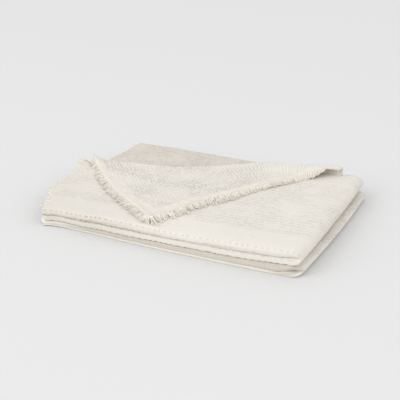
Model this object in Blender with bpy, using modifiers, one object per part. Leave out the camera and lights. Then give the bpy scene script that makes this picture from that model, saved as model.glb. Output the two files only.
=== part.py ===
# Folded waffle throw with a turned-back corner and short fringe. Metres, +Z up, front edge toward -Y.
import math
import random

import bmesh
import bpy
from mathutils import Vector

MM = 0.001

# Cloth, in its puffy upper half and its pressed lower half
UPPER_THICK = 2.8 * MM
UPPER_PITCH = 3.9 * MM
LOWER_THICK = 1.9 * MM
LOWER_PITCH = 2.33 * MM
PACK_GAP = 1.2 * MM

# Run ends, and the centres that the cloth turns about at the two long ends
LEFT_END_TOP = -225 * MM
LEFT_END_BOTTOM = -230 * MM
LEFT_TURN = -220 * MM
RIGHT_TURN_TOP = 210.8 * MM
RIGHT_TURN_BOTTOM = 222 * MM
FLAP_RIGHT_END = 182 * MM

# How far the parts of the stack stand out, puff up or dip
LEFT_FAN = 31 * MM
LEFT_FAN_REACH = 160 * MM
LOW_ROLL_BULGE = 12 * MM
TOP_ROLL_BULGE = 3 * MM
LOW_PUFF = 0.38
WAVE_HEIGHT = 0.7 * MM
CORNER_LIFT = 2.5 * MM
FLAP_REST = 4.1 * MM
TURN_PRESS = 0.35
FOLD_PRESS = 0.35
FLAP_SETTLE_LENGTH = 32 * MM
FLAP_RIPPLE = 0.5 * MM
FLAP_LEFT_BOW = (-5 * MM, -7 * MM)
EDGE_LAP_REACH = 0.30
BOTTOM_REACH = 0.25
BACK_SETBACK = 5 * MM

# Zones that an effect comes in over, each a start and an end along x or y
LOW_PUFF_X = (100 * MM, 215 * MM)
LOW_PUFF_FADE_Y = (-100 * MM, 160 * MM)
RIGHT_RISE_X = (-50 * MM, 100 * MM)
LEFT_SINK_X = (-50 * MM, -220 * MM)
LIFT_X = (-140 * MM, -215 * MM)
LIFT_Y = (60 * MM, -130 * MM)
FAN_FRONT_Y = (-155 * MM, -75 * MM)
FAN_BACK_Y = (60 * MM, 130 * MM)
BULGE_X = (80 * MM, 222 * MM)
SETBACK_RIGHT_X = (180 * MM, 222 * MM)
SETBACK_LEFT_X = (-120 * MM, -205 * MM)
BULGE_MIDDLE_Y = -30 * MM
BULGE_HALF_Y = 170 * MM
# How much of the effect each zone takes away or adds
LOW_PUFF_FADE = 0.35
RIGHT_RISE = 0.03
LEFT_SINK = 0.06
FAN_BACK_FADE = 0.8
SETBACK_RIGHT_FADE = 0.6
SETBACK_LEFT_FADE = 0.9
# Slow waves of the stack, each row a share of the wave height, radians per metre in x and in y, and a start
WAVES = ((1.0, 15, 9, 0.6), (0.7, 27, -14, 2.0))
FAN_WAVE = (0.08, 60)
RIPPLE_RATE = 52

# Divisions of the sheet
RUN_DIVISIONS = 14
LAP_DIVISIONS = 8
FRONT_LOOP_DIVISIONS = 6
BACK_LOOP_DIVISIONS = 5
FLAP_ARC_DIVISIONS = 5
FLAP_ROWS = (0.05, 0.12, 0.22, 0.35, 0.50, 0.66, 0.83, 1.0)

# Fringe
STRAND_THICK = 1.3 * MM
STRAND_TIP_SCALE = 0.6
BACKING_WIDTH = 1.6 * MM
BACKING_GAP = 0.7 * MM
STRAND_LENGTHS = (0.82, 1.10)
STRAND_LEAN = 0.09
STRAND_DROOP = (0.6, 1.0)
FRINGE_SEED = 11
# Strands, their length and their droop in mm, of each strip
FRINGES = {
    "fringe_flap_left": (70, 12.0, 0.3),
    "fringe_flap_right": (84, 12.0, 0.3),
    "fringe_top_end": (48, 10.0, 0.6),
    "fringe_back_end": (24, 9.0, 0.6),
}

# Height of the first lap, step to each next lap, set-back of the front fold and of the free edge
BASE = LOWER_THICK / 2
LOWER_TOP = BASE + 5 * LOWER_PITCH
UPPER_BASE = LOWER_TOP + LOWER_THICK / 2 + PACK_GAP + UPPER_THICK / 2
UPPER_TOP = UPPER_BASE + 5 * UPPER_PITCH
SEAM = LOWER_TOP + (LOWER_THICK + PACK_GAP) / 2
RUN_COLUMNS = ("first", "step", "front", "edge", "loft", "bulge")
RUN_ROWS = {
    4: (UPPER_TOP, -UPPER_PITCH, 0.0, 2.5 * MM, 1.0, TOP_ROLL_BULGE),
    3: (UPPER_BASE, UPPER_PITCH, 0.8 * MM, 2.0 * MM, 1.0, TOP_ROLL_BULGE),
    2: (LOWER_TOP, -LOWER_PITCH, 9.0 * MM, 2.0 * MM, LOWER_THICK / UPPER_THICK, LOW_ROLL_BULGE),
    1: (BASE, LOWER_PITCH, 1.0 * MM, 9.0 * MM, LOWER_THICK / UPPER_THICK, LOW_ROLL_BULGE),
}
RUNS = {run: dict(zip(RUN_COLUMNS, row)) for run, row in RUN_ROWS.items()}

# Plan curves, each row x and y in mm
FRONT_CURVE = (
    (-240, -156),
    (-200, -158),
    (-150, -162),
    (-50, -168),
    (60, -171),
    (180, -169),
    (222, -165),
    (245, -161),
)
BACK_CURVE = ((-240, 192), (-100, 185), (30, 174), (120, 165), (222, 155), (245, 152))
HINGE_CURVE = (
    (-255, 40),
    (-205, 50),
    (-160, 58),
    (-97, 67),
    (-45, 90),
    (5, 119),
    (40, 143),
    (100, 149),
    (180, 153),
)

# Turned-back corner: share along the hinge, then x and y in mm of its right leg
RIGHT_LEG = (
    (0.00, -36, -150),
    (0.13, -14, -112),
    (0.28, 2, -68),
    (0.46, 34, -20),
    (0.63, 70, 42),
    (0.77, 102, 95),
    (0.87, 124, 125),
    (0.94, 148, 137),
    (1.00, 173, 140),
)
# Radius in mm of the puffy turn of the corner, by share along the hinge
TURN_RADIUS = ((0.0, 5.6), (0.15, 4.6), (0.45, 3.8), (0.75, 4.8), (1.0, 7.8))


def ramp(value, start, end):
    share = min(max((value - start) / (end - start), 0.0), 1.0)
    return share * share * (3 - 2 * share)


def mix(a, b, share):
    return a + (b - a) * share


def along(rows, value, column=1):
    """Smooth curve through the table's rows, read at value of the first column."""
    last = len(rows) - 1
    value = min(max(value, rows[0][0]), rows[last][0])
    spot = next(i for i in range(last) if value <= rows[i + 1][0])
    x0, x1 = rows[spot][0], rows[spot + 1][0]
    y0, y1 = rows[spot][column], rows[spot + 1][column]
    before, after = rows[max(spot - 1, 0)], rows[min(spot + 2, last)]
    slope0 = (y1 - before[column]) / (x1 - before[0]) * (x1 - x0)
    slope1 = (after[column] - y0) / (after[0] - x0) * (x1 - x0)
    t = (value - x0) / (x1 - x0)
    start = (2 * t**3 - 3 * t**2 + 1) * y0 + (t**3 - 2 * t**2 + t) * slope0
    return start + (3 * t**2 - 2 * t**3) * y1 + (t**3 - t**2) * slope1


def plan(rows, x, column=1):
    return along(rows, x / MM, column) * MM


def settle(x, y, z):
    """Height of a point of the even stack once the stack has puffed and sunk."""
    low = 1 + LOW_PUFF * ramp(x, *LOW_PUFF_X) * (1 - LOW_PUFF_FADE * ramp(y, *LOW_PUFF_FADE_Y))
    high = 1 + RIGHT_RISE * ramp(x, *RIGHT_RISE_X) - LEFT_SINK * ramp(x, *LEFT_SINK_X)
    sunk = BASE + (min(z, SEAM) - BASE) * low + max(z - SEAM, 0.0) * high
    height = ramp(z, BASE, UPPER_TOP)
    wave = sum(part * math.sin(rate_x * x + rate_y * y + start) for part, rate_x, rate_y, start in WAVES)
    lift = ramp(x, *LIFT_X) * ramp(y, *LIFT_Y)
    return Vector((x, y, sunk + WAVE_HEIGHT * wave * height + CORNER_LIFT * lift))


def lap_height(run, lap):
    return RUNS[run]["first"] + RUNS[run]["step"] * (lap - 1)


def straight(run, x, from_left):
    """Station on a straight run of the sheet."""
    return {"runs": (run, run), "share": 0.0, "x": x, "side": 0, "from_left": from_left}


def stations():
    """Stations along the sheet's length, from its top short edge to its bottom one."""
    found = []
    legs = (
        (4, LEFT_END_TOP, RIGHT_TURN_TOP, 1, 8),
        (3, RIGHT_TURN_TOP, LEFT_TURN, -1, 6),
        (2, LEFT_TURN, RIGHT_TURN_BOTTOM, 1, 6),
        (1, RIGHT_TURN_BOTTOM, LEFT_END_BOTTOM, 0, 0),
    )
    for run, start, end, side, turns in legs:
        for step in range(RUN_DIVISIONS + 1):
            x = mix(start, end, step / RUN_DIVISIONS)
            found.append(straight(run, x, abs(x - min(start, end))))
        for step in range(1, turns):
            turn = {"runs": (run, run - 1), "share": step / turns, "x": end, "side": side, "from_left": 1.0}
            found.append(turn)
    return found


def station_value(station, name):
    """A column of RUNS, passing smoothly from one run to the next round a turn."""
    first, second = station["runs"]
    return mix(RUNS[first][name], RUNS[second][name], ramp(station["share"], 0, 1))


def fan(station, y, lap):
    """How far the loose short edges stand out to the left."""
    if station["runs"] not in ((4, 4), (1, 1)):
        return 0.0
    near = 1 - ramp(station["from_left"], 0.0, LEFT_FAN_REACH)
    spread = ramp(y, *FAN_FRONT_Y) * (1 - FAN_BACK_FADE * ramp(y, *FAN_BACK_Y))
    wave = FAN_WAVE[0] * math.sin(FAN_WAVE[1] * y)
    share = {4: mix(1.0, EDGE_LAP_REACH, min(lap - 1, 1)), 1: BOTTOM_REACH}[station["runs"][0]]
    return LEFT_FAN * near * max(spread + wave, 0) * share


def sheet_point(station, y, lap):
    first, second = station["runs"]
    top, bottom = lap_height(first, lap), lap_height(second, lap)
    middle, radius = (top + bottom) / 2, (top - bottom) / 2
    angle = math.pi * station["share"]
    x = station["x"] + station["side"] * radius * math.sin(angle)
    z = middle + radius * math.cos(angle) if station["side"] else top
    bow = 1 - ((y - BULGE_MIDDLE_Y) / BULGE_HALF_Y) ** 2
    x += station_value(station, "bulge") * bow * ramp(x, *BULGE_X)
    x -= fan(station, y, lap)
    return settle(x, y, z)


def sheet_loft(station, lap):
    """Share of the full thickness. The cloth is pressed thinner where it bends."""
    turn = math.sin(math.pi * station["share"])
    fold = math.sin(math.pi * (lap % 1.0))
    return station_value(station, "loft") * (1 - TURN_PRESS * turn) * (1 - FOLD_PRESS * fold)


def loop_radius(station):
    """Radius of the folds between one lap and the next."""
    first, second = (abs(RUNS[run]["step"]) / 2 for run in station["runs"])
    return mix(first, second, ramp(station["share"], 0, 1))


def in_flap(station):
    return station["runs"] == (4, 4) and station["x"] <= FLAP_RIGHT_END


def hinge_y(station):
    x = station["x"] - 0.9 * LEFT_FAN * (1 - ramp(station["from_left"], 0.0, LEFT_FAN_REACH))
    return plan(HINGE_CURVE, x)


def cross_section(station):
    """Places (y, lap) across the width, from the first lap's back edge to the last lap's free edge."""
    x = station["x"]
    right_share = 1 - SETBACK_RIGHT_FADE * ramp(x, *SETBACK_RIGHT_X)
    left_share = 1 - SETBACK_LEFT_FADE * ramp(x, *SETBACK_LEFT_X)
    setback = station_value(station, "front") * right_share * left_share
    loop = loop_radius(station)
    front = plan(FRONT_CURVE, x) + setback + loop
    back = plan(BACK_CURVE, x) - loop
    tucked = 0.0 if station["runs"][0] == 4 else BACK_SETBACK
    start = hinge_y(station) if in_flap(station) else back - tucked
    places = [(mix(start, front, i / LAP_DIVISIONS), 1.0) for i in range(LAP_DIVISIONS)]
    for i in range(FRONT_LOOP_DIVISIONS + 1):
        angle = math.pi * i / FRONT_LOOP_DIVISIONS
        places.append((front - loop * math.sin(angle), 1.5 - 0.5 * math.cos(angle)))
    places += [(mix(front, back, i / LAP_DIVISIONS), 2.0) for i in range(1, LAP_DIVISIONS)]
    for i in range(BACK_LOOP_DIVISIONS + 1):
        angle = math.pi * i / BACK_LOOP_DIVISIONS
        places.append((back + loop * math.sin(angle), 2.5 - 0.5 * math.cos(angle)))
    edge = front - loop + station_value(station, "edge")
    places += [(mix(back, edge, i / LAP_DIVISIONS), 3.0) for i in range(1, LAP_DIVISIONS + 1)]
    return places


def hinge_stations():
    return [station for station in stations() if in_flap(station)]


def hinge_point(share):
    """Plan place of the hinge at a share of its length, and the way that the turn bulges there."""
    flap = hinge_stations()
    spot = min(max(share, 0.0), 1.0) * (len(flap) - 1)
    low = min(int(spot), len(flap) - 2)

    def place(station):
        y = hinge_y(station)
        return Vector((station["x"] - fan(station, y, 1), y))

    start, end = place(flap[low]), place(flap[low + 1])
    before, after = place(flap[max(low - 1, 0)]), place(flap[min(low + 2, len(flap) - 1)])
    way = mix(end - before, after - start, spot - low).normalized()
    return mix(start, end, spot - low), Vector((-way.y, way.x))


def leg_point(share):
    return Vector((along(RIGHT_LEG, share, 1) * MM, along(RIGHT_LEG, share, 2) * MM))


def flap_place(share, row):
    """Point of the turned-back corner. Rows up to 0 go round the turn, rows 0 to 1 lie back over the stack."""
    hinge, out = hinge_point(share)
    radius = along(TURN_RADIUS, share) * MM
    if row < 0:
        angle = math.pi * (1 + row)
        spot = hinge + out * radius * math.sin(angle)
        return settle(spot.x, spot.y, UPPER_TOP + radius * (1 - math.cos(angle)))
    bow = Vector(FLAP_LEFT_BOW) * math.sin(math.pi * row) * (1 - share) ** 4
    spot = mix(hinge, leg_point(share), row) + bow
    fallen = ramp((spot - hinge).length, 0.0, FLAP_SETTLE_LENGTH)
    ripple = FLAP_RIPPLE * math.sin(RIPPLE_RATE * (spot.x + spot.y)) * ramp(row, 0.1, 0.5)
    return settle(spot.x, spot.y, UPPER_TOP + mix(2 * radius, FLAP_REST, fallen) + ripple)


def sheet():
    """The cloth: a flat grid laid round its folds, its corner drawn out and turned back, then made thick."""
    rows = [(station, cross_section(station)) for station in stations()]
    across, down = len(rows) - 1, len(rows[0][1]) - 1
    bm = bmesh.new()
    bmesh.ops.create_grid(bm, x_segments=across, y_segments=down, size=1.0)
    loft = bm.verts.layers.deform.verify()
    hinge = {}
    for vert in bm.verts:
        i = round((vert.co.x + 1) / 2 * across)
        j = round((vert.co.y + 1) / 2 * down)
        station, places = rows[i]
        vert.co = sheet_point(station, *places[j])
        vert[loft][0] = sheet_loft(station, places[j][1])
        if j == 0 and in_flap(station):
            hinge[vert] = i
    count = max(hinge.values())
    turns = [-1 + step / FLAP_ARC_DIVISIONS for step in range(1, FLAP_ARC_DIVISIONS)]
    for row in turns + [0.0] + list(FLAP_ROWS):
        edges = [edge for edge in bm.edges if all(vert in hinge for vert in edge.verts)]
        grown = bmesh.ops.extrude_edge_only(bm, edges=edges)["geom"]
        new_edges = [item for item in grown if isinstance(item, bmesh.types.BMEdge)]
        new_verts = [item for item in grown if isinstance(item, bmesh.types.BMVert)]
        beneath = {}
        for edge in (edge for vert in new_verts for edge in vert.link_edges if edge not in new_edges):
            for vert in edge.verts:
                if vert in hinge and edge.other_vert(vert) in new_verts:
                    beneath[edge.other_vert(vert)] = hinge[vert]
        for vert, i in beneath.items():
            vert.co = flap_place(i / count, row)
            vert[loft][0] = 1.0
        hinge = beneath
    bmesh.ops.recalc_face_normals(bm, faces=bm.faces)
    mesh = bpy.data.meshes.new("throw_cloth")
    bm.to_mesh(mesh)
    bm.free()
    body = bpy.data.objects.new("throw_cloth", mesh)
    body.vertex_groups.new(name="loft")
    thick = body.modifiers.new("cloth thickness", "SOLIDIFY")
    thick.thickness = UPPER_THICK
    thick.offset = 0
    thick.use_even_offset = False
    thick.vertex_group = "loft"
    return body


def edge_line(points, start, end):
    """Line along the cloth's own edge points: at a share of it, the place, the way outward and the way up."""
    reach = [0.0]
    for first, second in zip(points, points[1:]):
        reach.append(reach[-1] + (second - first).length)

    def place(share):
        spot = min(max(share, 0.0), 1.0) * reach[-1]
        low = next(i for i in range(len(points) - 1) if spot <= reach[i + 1] + 1e-9)
        return mix(points[low], points[low + 1], (spot - reach[low]) / (reach[low + 1] - reach[low]))

    def line(share):
        spot = mix(start, end, share)
        way = (place(spot + 0.02) - place(spot - 0.02)).normalized()
        out = Vector((way.y, -way.x, 0)).normalized()
        return place(spot), out, way.cross(out)

    return line


def short_edge(lap, start, end):
    station = stations()[0]
    places = [y for y, level in cross_section(station) if level == lap]
    return edge_line([sheet_point(station, y, lap) for y in sorted(places, reverse=True)], start, end)


def left_leg():
    return edge_line([flap_place(0.0, row) for row in (0.0, *FLAP_ROWS)], 0.03, 0.985)


def right_leg():
    count = len(hinge_stations()) - 1
    return edge_line([flap_place(i / count, 1.0) for i in range(count + 1)], 0.01, 0.985)


def fringe(name, line, rng):
    """A narrow strip parted from the cloth's edge, with strands drawn out of every second side face."""
    count, reach, droop = FRINGES[name][0], FRINGES[name][1] * MM, FRINGES[name][2] * MM
    cells = 2 * count - 1
    places = [line(i / cells) for i in range(cells + 1)]
    bm = bmesh.new()
    bmesh.ops.create_grid(bm, x_segments=cells, y_segments=1, size=1.0)
    marks = {}
    for level in (-0.5, 0.5):
        for vert in bm.verts:
            if vert not in marks:
                marks[vert] = (round((vert.co.x + 1) / 2 * cells), round((vert.co.y + 1) / 2), level)
        if level < 0:
            bmesh.ops.extrude_face_region(bm, geom=list(bm.faces))
    for vert, (i, outer, level) in marks.items():
        point, out, up = places[i]
        vert.co = point + out * (BACKING_GAP + BACKING_WIDTH * outer) + up * (-level) * STRAND_THICK
    roots = {}
    for face in bm.faces:
        cell = min(marks[vert][0] for vert in face.verts)
        if all(marks[vert][1] for vert in face.verts) and cell % 2 == 0:
            roots[cell] = face
    tips = bmesh.ops.extrude_discrete_faces(bm, faces=[roots[cell] for cell in sorted(roots)])["faces"]
    for tip in tips:
        centre = tip.calc_center_median()
        point, out, up = min(places, key=lambda place: (place[0] - centre).length)
        side = out.cross(up)
        length = reach * rng.uniform(*STRAND_LENGTHS)
        move = out * length + side * length * rng.uniform(-STRAND_LEAN, STRAND_LEAN)
        move.z -= droop * rng.uniform(*STRAND_DROOP)
        for vert in tip.verts:
            vert.co = centre + (vert.co - centre) * STRAND_TIP_SCALE + move
    bmesh.ops.recalc_face_normals(bm, faces=bm.faces)
    mesh = bpy.data.meshes.new(name)
    bm.to_mesh(mesh)
    bm.free()
    return bpy.data.objects.new(name, mesh)


def cotton(name, colour):
    material = bpy.data.materials.new(name)
    material.use_nodes = True
    shader = material.node_tree.nodes["Principled BSDF"]
    shader.inputs["Base Color"].default_value = (*colour, 1)
    shader.inputs["Roughness"].default_value = 0.95
    return material


for obj in list(bpy.data.objects):
    bpy.data.objects.remove(obj)
home = bpy.data.collections.new("waffle_throw")
bpy.context.scene.collection.children.link(home)

shuffle = random.Random(FRINGE_SEED)
cloth = sheet()
fringes = [
    fringe("fringe_flap_left", left_leg(), shuffle),
    fringe("fringe_flap_right", right_leg(), shuffle),
    fringe("fringe_top_end", short_edge(1, 0.06, 0.985), shuffle),
    fringe("fringe_back_end", short_edge(2, 0.015, 0.30), shuffle),
]
cream = cotton("cream_cotton", (0.80, 0.77, 0.70))
ecru = cotton("fringe_cotton", (0.78, 0.74, 0.67))
for body in [cloth] + fringes:
    home.objects.link(body)
    body.data.materials.append(cream if body is cloth else ecru)
bpy.context.view_layer.update()

# Bring the middle of the whole outline to the origin, with its lowest point at zero
graph = bpy.context.evaluated_depsgraph_get()
corners = []
for body in [cloth] + fringes:
    worn = body.evaluated_get(graph).to_mesh()
    corners += [vert.co.copy() for vert in worn.vertices]
lowest = Vector([min(point[axis] for point in corners) for axis in range(3)])
highest = Vector([max(point[axis] for point in corners) for axis in range(3)])
move = Vector((-(lowest.x + highest.x) / 2, -(lowest.y + highest.y) / 2, -lowest.z))
for body in [cloth] + fringes:
    for vert in body.data.vertices:
        vert.co += move
print("moved by", [round(value / MM, 3) for value in move])
print("size", [round(value / MM, 2) for value in highest - lowest])
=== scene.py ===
import math
import random

import bmesh
import bpy
from mathutils import Matrix, Vector, noise


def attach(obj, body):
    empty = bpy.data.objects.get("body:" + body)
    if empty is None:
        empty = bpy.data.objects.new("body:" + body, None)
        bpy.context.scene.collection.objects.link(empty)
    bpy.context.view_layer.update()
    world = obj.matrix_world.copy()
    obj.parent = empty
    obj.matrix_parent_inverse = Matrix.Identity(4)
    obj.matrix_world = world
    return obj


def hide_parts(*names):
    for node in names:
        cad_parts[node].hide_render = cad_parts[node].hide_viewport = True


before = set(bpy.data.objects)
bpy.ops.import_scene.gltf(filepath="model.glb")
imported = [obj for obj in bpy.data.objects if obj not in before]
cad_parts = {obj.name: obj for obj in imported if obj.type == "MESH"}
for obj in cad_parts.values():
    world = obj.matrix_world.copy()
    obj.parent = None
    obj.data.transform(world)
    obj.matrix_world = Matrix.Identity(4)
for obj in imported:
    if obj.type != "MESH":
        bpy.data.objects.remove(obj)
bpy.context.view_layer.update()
print("packed model loaded")

mm = 0.001
shift = Vector((15.173, -10.097, 0)) * mm  # from the sizes below to the model's own frame
farAway = 1.0  # a distance in metres, past everything on the cloth


# Camera, floor and light

view = {
    "azimuth": 24.98,
    "elevation": 22.12,
    "distance": 1.711,
    "sideways": -0.01556,
    "upward": 0.02021,
    "lens": 91.3,
}
studio = {
    "floorColour": (0.74, 0.74, 0.74),
    "floorRoughness": 0.9,
    "floorGloss": 0.1,
    "floorSize": 14.0,
    "skyColour": (1.0, 1.0, 1.0),
    "skyStrength": 0.87,
    "lamps": (  # name, place, size, watts
        ("keyLamp", (-4.8, -8.0, 5.8), 8.0, 450),
        ("fillLamp", (7.6, -2.4, 5.6), 7.0, 125),
    ),
}


def addObject(name, data):
    made = bpy.data.objects.new(name, data)
    bpy.context.scene.collection.objects.link(made)
    return made


def addCamera(values):
    azimuth, elevation = math.radians(values["azimuth"]), math.radians(values["elevation"])
    flat = math.cos(elevation)
    back = Vector((math.sin(azimuth) * flat, -math.cos(azimuth) * flat, math.sin(elevation)))
    right = Vector((math.cos(azimuth), math.sin(azimuth), 0))
    up = back.cross(right)
    camera = addObject("camera", bpy.data.cameras.new("camera"))
    camera.data.lens = values["lens"]
    camera.matrix_world = Matrix((right, up, back)).transposed().to_4x4()
    camera.location = back * values["distance"] + right * values["sideways"] + up * values["upward"] + shift
    bpy.context.scene.camera = camera


def addFloor(values):
    bm = bmesh.new()
    bmesh.ops.create_grid(bm, x_segments=2, y_segments=2, size=values["floorSize"] / 2)
    mesh = bpy.data.meshes.new("floor")
    bm.to_mesh(mesh)
    bm.free()
    floor = addObject("floor", mesh)
    material = bpy.data.materials.new("paleFloor")
    material.use_nodes = True
    shader = material.node_tree.nodes["Principled BSDF"]
    shader.inputs["Base Color"].default_value = (*values["floorColour"], 1)
    shader.inputs["Roughness"].default_value = values["floorRoughness"]
    shader.inputs["Specular IOR Level"].default_value = values["floorGloss"]
    mesh.materials.append(material)
    return floor


def addLight(values):
    for name, place, size, watts in values["lamps"]:
        lamp = addObject(name, bpy.data.lights.new(name, "AREA"))
        lamp.data.size = size
        lamp.data.energy = watts
        lamp.location = place
        lamp.rotation_euler = (-Vector(place)).to_track_quat("-Z", "Y").to_euler()
    world = bpy.data.worlds.new("softStudio")
    world.use_nodes = True
    sky = world.node_tree.nodes["Background"]
    sky.inputs["Color"].default_value = (*values["skyColour"], 1)
    sky.inputs["Strength"].default_value = values["skyStrength"]
    bpy.context.scene.world = world
    bpy.context.scene.view_settings.view_transform = "Standard"


addCamera(view)
floor = addFloor(studio)
addLight(studio)
print("camera and studio placed")


# Folded cloth. The sheet runs along x four times, from the top (4) to the bottom (1), and each run is
# folded across y into three laps. A pair of values is where a soft change starts and is complete, and
# three are its amount and that pair. Lengths are in metres.

cloth = {
    "upperThick": 2.8 * mm,
    "upperPitch": 3.9 * mm,
    "lowerThick": 1.9 * mm,
    "lowerPitch": 2.33 * mm,
    "packGap": 1.2 * mm,
    # Right and left ends
    "leftEndTop": -221 * mm,
    "leftEndBottom": -222 * mm,
    "leftTurn": -217 * mm,
    "rightTurnTop": 203 * mm,
    "rightTurnBottom": 204 * mm,
    "noses": {(4, 3): 1.8, (2, 1): 3.4},  # how far the turn between two runs reaches out
    "turnRound": {(4, 3): 4 * mm, (3, 2): 5 * mm, (2, 1): 11 * mm},  # how its front corner is rounded
    "topRollBulge": 3 * mm,
    "lowRollBulge": 5 * mm,
    "bulgeX": (0.080, 0.222),
    "bulgeMiddle": -30 * mm,
    "bulgeHalf": 170 * mm,
    "topSlant": 4 * mm,
    # Layers fanned out at the left
    "leftFan": 34 * mm,
    "leftFanReach": 160 * mm,
    "fanFrontY": (-0.175, -0.060),
    "fanBackY": (0.8, 0.060, 0.130),
    "fanWave": (0.08, 60),
    "fanSecondLap": 0.30,
    "fanBottom": 0.25,
    "hingeFan": 0.9,
    "backEnd": 9 * mm,
    "backEndY": (-0.060, 0.050),
    "tip": (14 * mm, 26 * mm, 15 * mm),  # height, y and half width
    "tipReach": (-0.006, 0.018),
    "dip": (4 * mm, 40 * mm, 6 * mm),
    "dipReach": (0.0, 0.020),
    # Height of the layers
    "puffX": (0.38, 0.100, 0.215),
    "puffFadeY": (0.35, -0.100, 0.160),
    "riseX": (0.03, -0.050, 0.100),
    "sinkX": (0.06, -0.050, -0.220),
    "pressX": (0.26, 0.080, -0.120),
    "pressThins": 0.8,
    "upperSag": 0.16,
    "lowerSag": 0.12,
    "sagX": (-0.060, -0.200),
    "sagY": (0.030, -0.120),
    "cornerLift": 0.8 * mm,
    "cornerX": (-0.140, -0.215),
    "cornerY": (0.060, -0.130),
    "waveHeight": 0.7 * mm,
    "waves": ((1.0, 15, 9, 0.6), (0.7, 27, -14, 2.0)),  # share, rates along x and y, start
    "creaseEnds": 0.35,
    "turnPress": 0.1,
    "frontLoft": 0.28,
    "lowFrontLoft": 0.14,
    "loftBehind": (0.004, 0.035),
    # Front folds, back folds and free edges
    "setbackRight": (0.6, 0.180, 0.222),
    "setbackLeft": (0.9, -0.120, -0.205),
    "frontCrowding": 1.5,
    "rollBulge": 0.2,
    "foldReturn": 14 * mm,
    "closedReach": 3.1,
    "closeFrom": 186 * mm,
    "closeBefore": 0.5 * mm,
    "beadPitch": 10 * mm,
    "beadDepths": (1.0, 1.4),
    "beadSwing": 0.5,
    "beadX": (0.0, 0.150),
    "backTuck": 5 * mm,
    "edgeTuck": 4 * mm,
    "tuckReach": (2.0, 2.5),
    # Turned-back corner: its leg's row is 0 at the crease and 1 at the leg, its share 0 at the left
    "flapRightEnd": 182 * mm,
    "flapRest": 5.4 * mm,
    "flapSettle": 32 * mm,
    "archLift": 8 * mm,
    "archShare": (0.86, 0.945),
    "tipShift": 8 * mm,
    "tipShare": (0.0, 0.10),
    "tipRow": (-1.0, -0.3),
    "legBow": (-5, -7),  # mm
    "legBowFade": 4,
    "flapRipple": 0.5 * mm,
    "flapRippleRate": 52,
    "flapRippleRow": (0.1, 0.5),
    "creaseLength": 330 * mm,
    "hemRidge": 0.8 * mm,
    "hemRidgeRow": (0.0, 0.2),
    # Tints, painted shade and marks kept on the mesh
    "bandX": (-0.240, -0.130),
    "bandTurn": (0.65, 0.20),
    "endBandX": (0.168, 0.196),
    "tanBehind": 40 * mm,
    "leftShadeX": (-0.020, -0.140),
    "leftShadeShares": (0.3, 0.6),
    "flapTan": 0.1,
    "shoulderX": (0.020, -0.160),
    "shoulderShares": (0.55, 1.0),
    "rippleRow": (-0.3, 0.05),
    "apexPlain": 0.6,
    "apexAway": (0.020, 0.110),
    "openTop": (0.150, -0.100),  # a spot on top, clear of the corner
    # Divisions of the mesh
    "lapDivisions": 22,
    "frontDivisions": 12,
    "returnDivisions": 5,
    "backDivisions": 8,
    "turnDivisions": 12,
    "flapTurnDivisions": 10,
    "flapRows": 32,
    "edgeRows": 7,
    "edgeFrom": 0.92,
    "runDivisions": {4: 126, 3: 160, 2: 48, 1: 56},
}
base = cloth["lowerThick"] / 2
lowerTop = base + 5 * cloth["lowerPitch"]
seam = lowerTop + (cloth["lowerThick"] + cloth["packGap"]) / 2
upperBase = seam + (cloth["packGap"] + cloth["upperThick"]) / 2
upperTop = upperBase + 5 * cloth["upperPitch"]
foldFrom = cloth["lapDivisions"]  # rows of points across the sheet where the front fold starts and ends
foldTo = foldFrom + cloth["frontDivisions"]

# Each run: height of its first lap, step to the next, set-back of its fold and of its free edge, thickness,
# the lap that its front fold reaches, how square that fold starts and ends, how it droops, its end's bulge
upperStep, lowerStep = cloth["upperPitch"], cloth["lowerPitch"]
topBulge, lowBulge = cloth["topRollBulge"], cloth["lowRollBulge"]
lowerLoft = cloth["lowerThick"] / cloth["upperThick"]
runColumns = ("first", "step", "front", "edge", "loft", "reach", "start", "end", "droop", "bulge")
runRows = {
    4: (upperTop, -upperStep, 0.0, 2.5 * mm, 1.0, 3.6, 1.0, 0.35, 0.0, topBulge),
    3: (upperBase, upperStep, 0.8 * mm, 2.0 * mm, 1.0, 2.8, 0.4, 0.4, 0.35, topBulge),
    2: (lowerTop, -lowerStep, 3.5 * mm, 2.0 * mm, lowerLoft, 4.6, 0.4, 0.4, 0.35, lowBulge),
    1: (base, lowerStep, 1 * mm, 9 * mm, lowerLoft, 1.75, 0.8, 0.6, 0.0, lowBulge),
}
runs = {run: dict(zip(runColumns, row)) for run, row in runRows.items()}

# Numbers kept on each point of the mesh for the material, some of them masks of painted shade
markNames = ("hem", "band", "ripple", "grooveShade", "tanAndShade", "shoulder")

# Plan curves in mm, and the turned-back corner's right leg and puffy turn by share along its crease
frontCurve = (
    (-240, -172),
    (-222, -168),
    (-198, -161),
    (-150, -163),
    (-50, -169),
    (60, -174),
    (180, -176),
    (245, -175),
)
backCurve = ((-240, 192), (-100, 185), (30, 176), (120, 171), (222, 168), (245, 167))
hingeCurve = (
    (-255, 40),
    (-205, 50),
    (-160, 58),
    (-97, 67),
    (-45, 90),
    (5, 119),
    (40, 143),
    (100, 150),
    (150, 157),
    (180, 161),
)
rightLeg = (
    (0.00, -36, -150),
    (0.13, -14, -112),
    (0.28, 2, -68),
    (0.46, 34, -20),
    (0.63, 70, 42),
    (0.77, 102, 95),
    (0.87, 126, 126),
    (0.92, 143, 139),
    (0.95, 155, 146),
    (1.00, 176, 152),
)
turnRadius = (
    (0.0, 7.8),
    (0.03, 5.6),
    (0.07, 3.7),
    (0.14, 3.1),
    (0.45, 3.5),
    (0.75, 5.8),
    (0.88, 7.8),
    (0.97, 8.0),
    (1.0, 6.8),
)

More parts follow.
